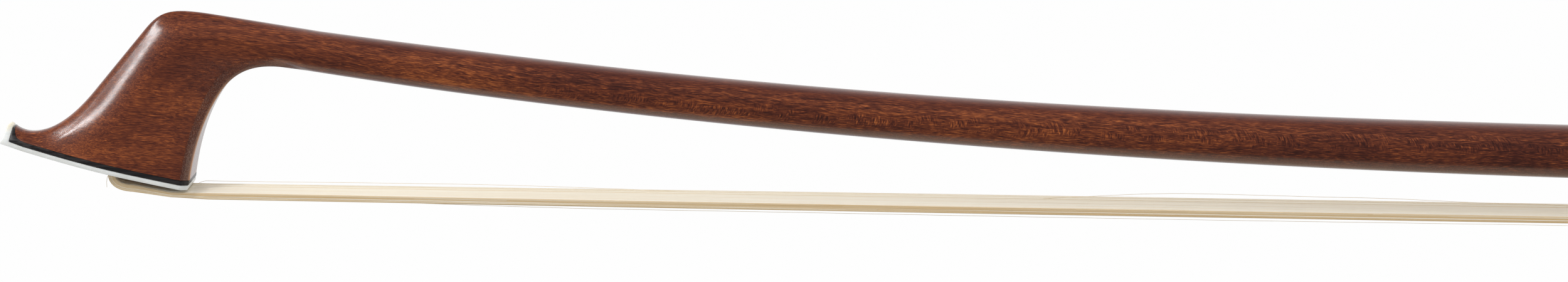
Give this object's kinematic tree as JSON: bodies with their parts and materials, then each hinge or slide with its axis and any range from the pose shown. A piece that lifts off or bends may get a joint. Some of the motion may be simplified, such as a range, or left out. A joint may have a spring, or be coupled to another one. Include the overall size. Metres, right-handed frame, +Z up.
{
  "type": "cello bow",
  "caption": "Slender round wooden stick with a hatchet-shaped head, a flat hank of hair, and a screw-drawn frog with eyes, ferrule, leather and lapping at the handle.",
  "frame": {"origin": "middle of the whole bow in X and Y, at the height of the ferrule's lower front edge, on which and on its hair the bow stands", "axes": "+X along the bow from the head to the button, +Z up from the hair to the stick, +Y across the hair; the hair runs level and the straight handle with the frog and the button rises by 3.32 degrees towards +X"},
  "size_m": [0.714, 0.0142, 0.0334],
  "materials": {
    "wood": "oiled and lightly varnished red-brown wood",
    "liner": "black ebony, thin and matt",
    "facing": "polished bone-white",
    "hair": "natural white horse hair",
    "thread": "waxed linen thread",
    "plug": "plain pale wood",
    "leather": "black, fine grain",
    "lapping_pale": "pale horn-like strip",
    "lapping_dark": "dark horn-like strip",
    "ebony": "polished black ebony",
    "silver": "bright nickel silver",
    "brass": "turned",
    "steel": "plain",
    "pearl": "polished mother of pearl"
  },
  "bodies": {
    "stick": {"stick": "wood", "head_liner": "liner", "head_plate": "facing", "head_wedge": "plug", "head_knot": "thread", "hair": "hair", "thumb_leather": "leather", "lapping_pale": "lapping_pale", "lapping_dark": "lapping_dark"},
    "frog": {"frog_body": "ebony", "underslide": "silver", "eyelet": "brass", "ferrule": "silver", "spread_wedge": "plug", "frog_knot": "thread", "frog_wedge": "plug", "slide_backing": "ebony", "pearl_slide": "pearl", "heel_plate": "silver", "eye_ring_far": "silver", "eye_ring_near": "silver", "eye_pearl_far": "pearl", "eye_pearl_near": "pearl"},
    "screw": {"screw": "steel", "button_front_ring": "silver", "button_core": "ebony", "button_rear_cap": "silver", "button_pearl": "pearl"}
  },
  "joints": [
    {"name": "screw_turn", "type": "hinge", "parent": "stick", "child": "screw", "pos_m": [0.34046, 0, 0.02793], "axis": [0.9983, 0, 0.0579], "range_deg": [-900, 1800]},
    {"name": "frog_slide", "type": "slide", "parent": "stick", "child": "frog", "axis": [0.9983, 0, 0.0579], "range_m": [-0.004, 0.002], "deforming": ["hair"]}
  ],
  "couplings": [
    {"joint": "screw_turn", "follows": "frog_slide", "rad_per_m": -7854}
  ]
}
